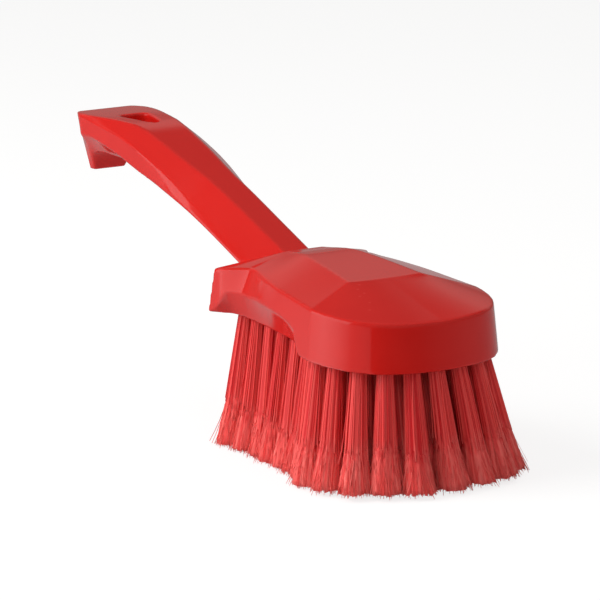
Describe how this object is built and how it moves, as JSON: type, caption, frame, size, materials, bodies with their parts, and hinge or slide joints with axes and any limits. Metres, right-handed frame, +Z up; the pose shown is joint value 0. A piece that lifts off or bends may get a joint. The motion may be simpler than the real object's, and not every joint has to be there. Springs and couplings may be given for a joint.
{
  "type": "hand brush",
  "caption": "Short-handled hand brush: one-piece moulded block and arched handle with a hanging hole, and flared soft filament tufts.",
  "frame": {"origin": "middle of the bounding box on the ground, in the plane of the trimmed filament tips", "axes": "+Z up out of the top of the block, +X along the brush towards the rounded nose of the block, the handle runs to -X, +Y across the brush"},
  "size_m": [0.2754, 0.0998, 0.1124],
  "materials": {
    "plastic": "satin moulded plastic",
    "filament": "soft filament, flagged ends"
  },
  "bodies": {
    "root": {"block_and_handle": "plastic", "inner_tuft_01": "filament", "inner_tuft_02": "filament", "inner_tuft_03": "filament", "inner_tuft_04": "filament", "inner_tuft_05": "filament", "inner_tuft_06": "filament", "inner_tuft_07": "filament", "inner_tuft_08": "filament", "inner_tuft_09": "filament", "inner_tuft_10": "filament", "inner_tuft_11": "filament", "inner_tuft_12": "filament", "inner_tuft_13": "filament", "inner_tuft_14": "filament", "inner_tuft_15": "filament", "inner_tuft_16": "filament", "inner_tuft_17": "filament", "inner_tuft_18": "filament", "inner_tuft_19": "filament", "inner_tuft_20": "filament", "outer_tuft_01": "filament", "outer_tuft_02": "filament", "outer_tuft_03": "filament", "outer_tuft_04": "filament", "outer_tuft_05": "filament", "outer_tuft_06": "filament", "outer_tuft_07": "filament", "outer_tuft_08": "filament", "outer_tuft_09": "filament", "outer_tuft_10": "filament", "outer_tuft_11": "filament", "outer_tuft_12": "filament", "outer_tuft_13": "filament", "outer_tuft_14": "filament", "outer_tuft_15": "filament", "outer_tuft_16": "filament", "outer_tuft_17": "filament", "outer_tuft_18": "filament", "outer_tuft_19": "filament", "outer_tuft_20": "filament", "outer_tuft_21": "filament", "outer_tuft_22": "filament", "outer_tuft_23": "filament", "outer_tuft_24": "filament", "outer_tuft_25": "filament", "outer_tuft_26": "filament", "outer_tuft_27": "filament", "outer_tuft_28": "filament", "spine_tuft_01": "filament", "spine_tuft_02": "filament", "spine_tuft_03": "filament", "spine_tuft_04": "filament", "spine_tuft_05": "filament", "spine_tuft_06": "filament", "spine_tuft_07": "filament", "spine_tuft_08": "filament", "spine_tuft_09": "filament", "spine_tuft_10": "filament", "spine_tuft_11": "filament"}
  },
  "joints": []
}
